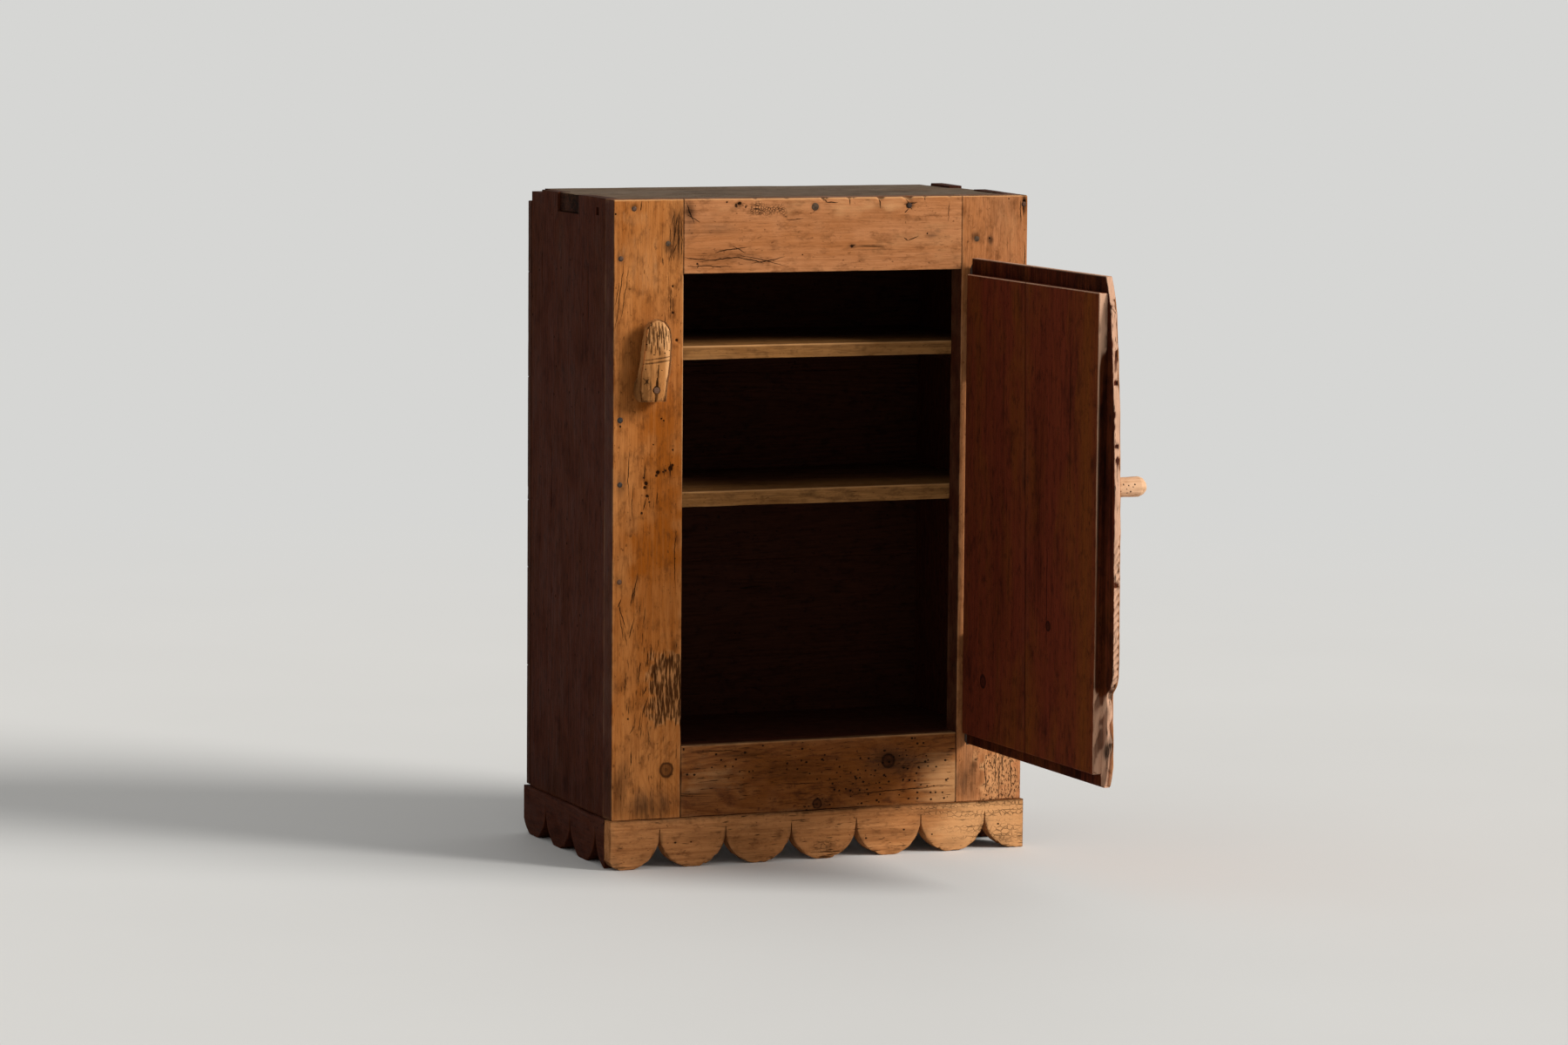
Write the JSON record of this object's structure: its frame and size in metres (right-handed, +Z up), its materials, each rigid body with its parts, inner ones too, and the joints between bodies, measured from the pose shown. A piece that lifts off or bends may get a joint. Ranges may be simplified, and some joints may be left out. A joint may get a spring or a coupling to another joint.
{
  "type": "storage cabinet",
  "caption": "Free-standing plank cupboard with a face frame, a lipped live-edge door, a turn button, inside shelves and a scalloped plinth.",
  "frame": {"origin": "on the floor, under the middle of the plinth's footprint, the open door left out", "axes": "+X to the right as seen from the front, +Y to the back, +Z up"},
  "size_m": [0.743, 0.9788, 1.104],
  "materials": {
    "frame_front": "aged wax, worn",
    "side": "aged wax, worn",
    "top": "aged wax, worn",
    "skirt": "aged wax, worn",
    "door": "aged wax, worn",
    "shelf": "aged wax, worn",
    "hidden_wood": "aged wax, worn",
    "back": "aged wax, worn",
    "pegs": "aged wax, worn",
    "knob": "aged wax, worn",
    "turn_button": "aged wax, worn",
    "nails": "dark, hand-forged",
    "hinge_iron": "dark, hand-forged"
  },
  "bodies": {
    "cabinet": {"left_stile": "frame_front", "right_stile": "frame_front", "top_rail": "frame_front", "bottom_rail": "frame_front", "left_side_board": "side", "right_side_board": "side", "top_board": "top", "front_skirt": "skirt", "left_skirt": "skirt", "right_skirt": "skirt", "floor_board": "shelf", "upper_shelf": "shelf", "lower_shelf": "shelf", "upper_shelf_left_cleat": "hidden_wood", "upper_shelf_right_cleat": "hidden_wood", "lower_shelf_left_cleat": "hidden_wood", "lower_shelf_right_cleat": "hidden_wood", "floor_left_cleat": "hidden_wood", "floor_right_cleat": "hidden_wood", "front_left_block": "hidden_wood", "front_right_block": "hidden_wood", "rear_left_block": "hidden_wood", "rear_right_block": "hidden_wood", "back_board_lowest": "back", "back_board_second": "back", "back_board_third": "back", "back_board_fourth": "back", "back_board_fifth": "back", "back_board_highest": "back", "frame_pegs": "pegs", "frame_nails": "nails", "back_nails": "nails", "cleat_nails": "nails", "skirt_nails": "nails", "turn_button_nail": "nails", "upper_hinge_frame_leaf": "hinge_iron", "upper_hinge_pin": "hinge_iron", "lower_hinge_frame_leaf": "hinge_iron", "lower_hinge_pin": "hinge_iron", "hinge_frame_nails": "hinge_iron"},
    "door": {"door_hinge_board": "door", "door_edge_board": "door", "door_dowels": "hidden_wood", "door_knob": "knob", "upper_hinge_door_leaf": "hinge_iron", "lower_hinge_door_leaf": "hinge_iron", "hinge_door_nails": "hinge_iron"},
    "turn_button": {"turn_button": "turn_button"}
  },
  "joints": [
    {"name": "door_swing", "type": "hinge", "parent": "cabinet", "child": "door", "pos_m": [0.2665, -0.2155, 0.583], "axis": [0, 0, 1], "range_deg": [-91.25, 68.75]},
    {"name": "button_turn", "type": "hinge", "parent": "cabinet", "child": "turn_button", "pos_m": [-0.3045, -0.2258, 0.792], "axis": [0, 1, 0], "continuous": true}
  ]
}
